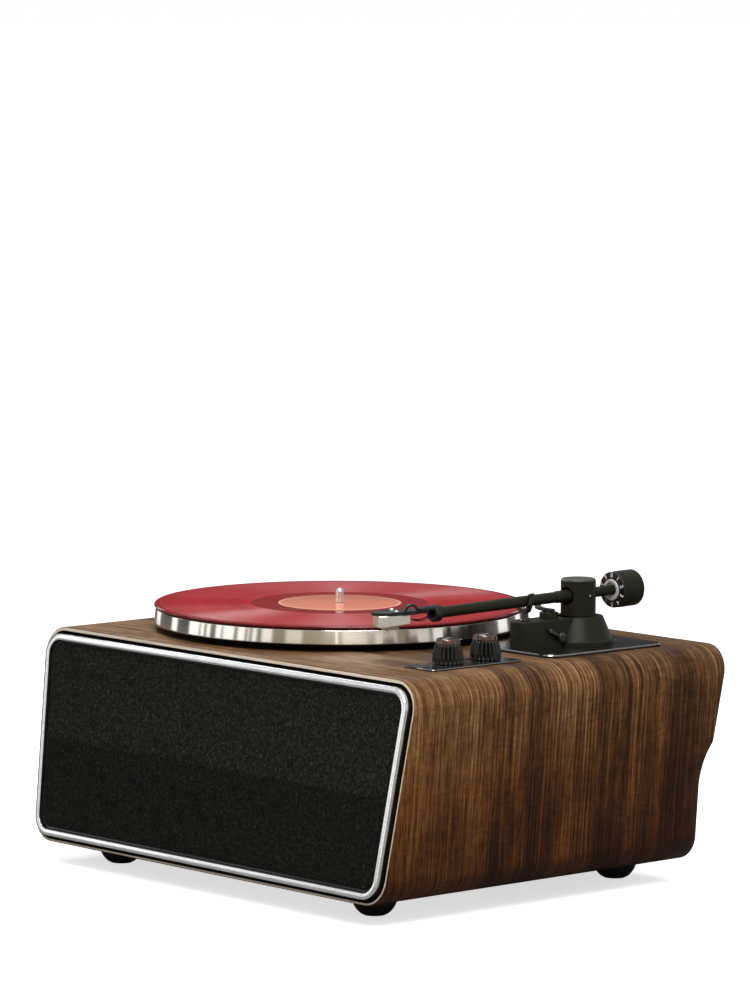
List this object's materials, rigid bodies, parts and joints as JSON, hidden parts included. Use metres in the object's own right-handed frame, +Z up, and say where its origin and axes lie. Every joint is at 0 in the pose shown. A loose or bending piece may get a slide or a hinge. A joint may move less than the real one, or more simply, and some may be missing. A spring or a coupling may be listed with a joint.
{
  "type": "record player",
  "caption": "Table-top record player: rounded leaning walnut cabinet, cloth speaker grille in a bright trim, belt-driven platter with a red disc, knobs and a balanced tonearm.",
  "frame": {"origin": "on the surface the feet stand on, below the middle of the whole object", "axes": "+X to the right seen from the front, +Y to the back, +Z up"},
  "size_m": [0.4484, 0.3608, 0.2456],
  "materials": {
    "walnut": "satin walnut veneer",
    "black_board": "black painted board",
    "trim_metal": "polished",
    "black_plastic": "moulded matt",
    "grille_cloth": "open weave",
    "black_metal": "black satin",
    "speaker_paper": "pressed dark paper",
    "machined_metal": "machined",
    "bronze": "turned",
    "plated_steel": "plated",
    "black_rubber": "matt",
    "circuit_board": "circuit board",
    "gloss_black": "gloss",
    "arm_plate_black": "gloss black with a bright edge",
    "arm_metal": "satin grey-black",
    "tube_metal": "anodised satin grey-black",
    "shell_metal": "anodised black",
    "rocker_plastic": "matt",
    "platter_metal": "mirror turned",
    "felt": "felt",
    "chrome": "polished",
    "record_red": "translucent red with fine grooves",
    "label_paper": "plain paper",
    "cap_metal": "satin grey",
    "cartridge_metal": "satin champagne",
    "stylus_plastic": "plain",
    "wire_black": "enamelled"
  },
  "bodies": {
    "cabinet": {"cabinet_top": "walnut", "cabinet_bottom": "walnut", "cabinet_left": "walnut", "cabinet_right": "walnut", "back_panel": "black_board", "front_baffle": "black_board", "trim_ring": "trim_metal", "grille_frame": "black_plastic", "grille_cloth": "grille_cloth", "speaker_frame_left": "black_metal", "speaker_frame_right": "black_metal", "speaker_cone_left": "speaker_paper", "speaker_cone_right": "speaker_paper", "bearing_housing": "machined_metal", "bearing_bush": "bronze", "motor": "plated_steel", "drive_belt": "black_rubber", "amp_board": "circuit_board", "board_posts": "bronze", "volume_pot": "plated_steel", "selector_pot": "plated_steel", "control_plate": "gloss_black", "arm_plate": "arm_plate_black", "arm_base": "arm_metal", "arm_rest": "gloss_black", "pivot_bush": "bronze", "lifter_guide": "arm_metal", "dc_inlet": "black_plastic", "phono_sockets": "black_plastic", "switch_frame": "black_plastic", "feet": "black_rubber", "foot_screws": "plated_steel", "back_screws": "black_metal", "plate_screws": "black_metal"},
    "platter": {"platter": "platter_metal", "slip_mat": "felt", "spindle": "chrome", "record": "record_red", "record_label": "label_paper"},
    "motor_pulley": {"motor_pulley": "bronze"},
    "arm_pivot": {"pivot_housing": "arm_metal", "pivot_cap": "cap_metal", "pivot_shaft": "plated_steel", "pivot_screws": "plated_steel"},
    "tonearm": {"arm_tube": "tube_metal", "headshell": "shell_metal", "finger_lift": "shell_metal", "cartridge": "cartridge_metal", "stylus": "stylus_plastic", "lead_wires": "wire_black"},
    "weight_carrier": {"weight_sleeve": "machined_metal"},
    "counterweight": {"counterweight": "arm_metal"},
    "force_dial": {"force_dial": "gloss_black"},
    "cue_lever": {"cue_lever": "black_metal"},
    "lifter": {"lifter_bar": "black_metal"},
    "volume_knob": {"volume_knob": "gloss_black", "volume_shaft": "plated_steel"},
    "selector_knob": {"selector_knob": "gloss_black", "selector_shaft": "plated_steel"},
    "power_switch": {"switch_rocker": "rocker_plastic"}
  },
  "joints": [
    {"name": "platter_spin", "type": "hinge", "parent": "cabinet", "child": "platter", "pos_m": [-0.054, 0.01444, 0.189], "axis": [0, 0, 1], "continuous": true},
    {"name": "pulley_spin", "type": "hinge", "parent": "cabinet", "child": "motor_pulley", "pos_m": [-0.14247, 0.07639, 0.189], "axis": [0, 0, 1], "continuous": true},
    {"name": "arm_swing", "type": "hinge", "parent": "cabinet", "child": "arm_pivot", "pos_m": [0.148, 0.08844, 0.23], "axis": [0, 0, -1], "range_deg": [0, 50]},
    {"name": "arm_lift", "type": "hinge", "parent": "arm_pivot", "child": "tonearm", "pos_m": [0.148, 0.08844, 0.23], "axis": [-1, 0, 0], "range_deg": [-0.6, 8]},
    {"name": "weight_slide", "type": "slide", "parent": "tonearm", "child": "weight_carrier", "axis": [0, 0.9998, 0.0175], "range_m": [-0.004, 0.004]},
    {"name": "weight_turn", "type": "hinge", "parent": "weight_carrier", "child": "counterweight", "pos_m": [0.148, 0.08844, 0.23], "axis": [0, 0.9998, 0.0175], "range_deg": [-719, 719]},
    {"name": "dial_turn", "type": "hinge", "parent": "counterweight", "child": "force_dial", "pos_m": [0.148, 0.08844, 0.23], "axis": [0, 0.9998, 0.0175], "continuous": true},
    {"name": "cue_lever_turn", "type": "hinge", "parent": "cabinet", "child": "cue_lever", "pos_m": [0.1598, 0.05744, 0.1998], "axis": [-1, 0, 0], "range_deg": [0, 40]},
    {"name": "lifter_rise", "type": "slide", "parent": "cabinet", "child": "lifter", "axis": [0, 0, 1], "range_m": [0, 0.003]},
    {"name": "volume_turn", "type": "hinge", "parent": "cabinet", "child": "volume_knob", "pos_m": [0.168, -0.06956, 0.191], "axis": [0, 0, -1], "range_deg": [0, 300]},
    {"name": "selector_turn", "type": "hinge", "parent": "cabinet", "child": "selector_knob", "pos_m": [0.168, -0.03006, 0.191], "axis": [0, 0, -1], "range_deg": [0, 90]},
    {"name": "power_rock", "type": "hinge", "parent": "cabinet", "child": "power_switch", "pos_m": [0.11, 0.15242, 0.049], "axis": [-1, 0, 0], "range_deg": [0, 16]}
  ],
  "couplings": [
    {"joint": "pulley_spin", "follows": "platter_spin", "ratio": 13.333},
    {"joint": "weight_slide", "follows": "weight_turn", "m_per_rad": 0.00031831},
    {"joint": "cue_lever_turn", "follows": "lifter_rise", "rad_per_m": 232}
  ]
}
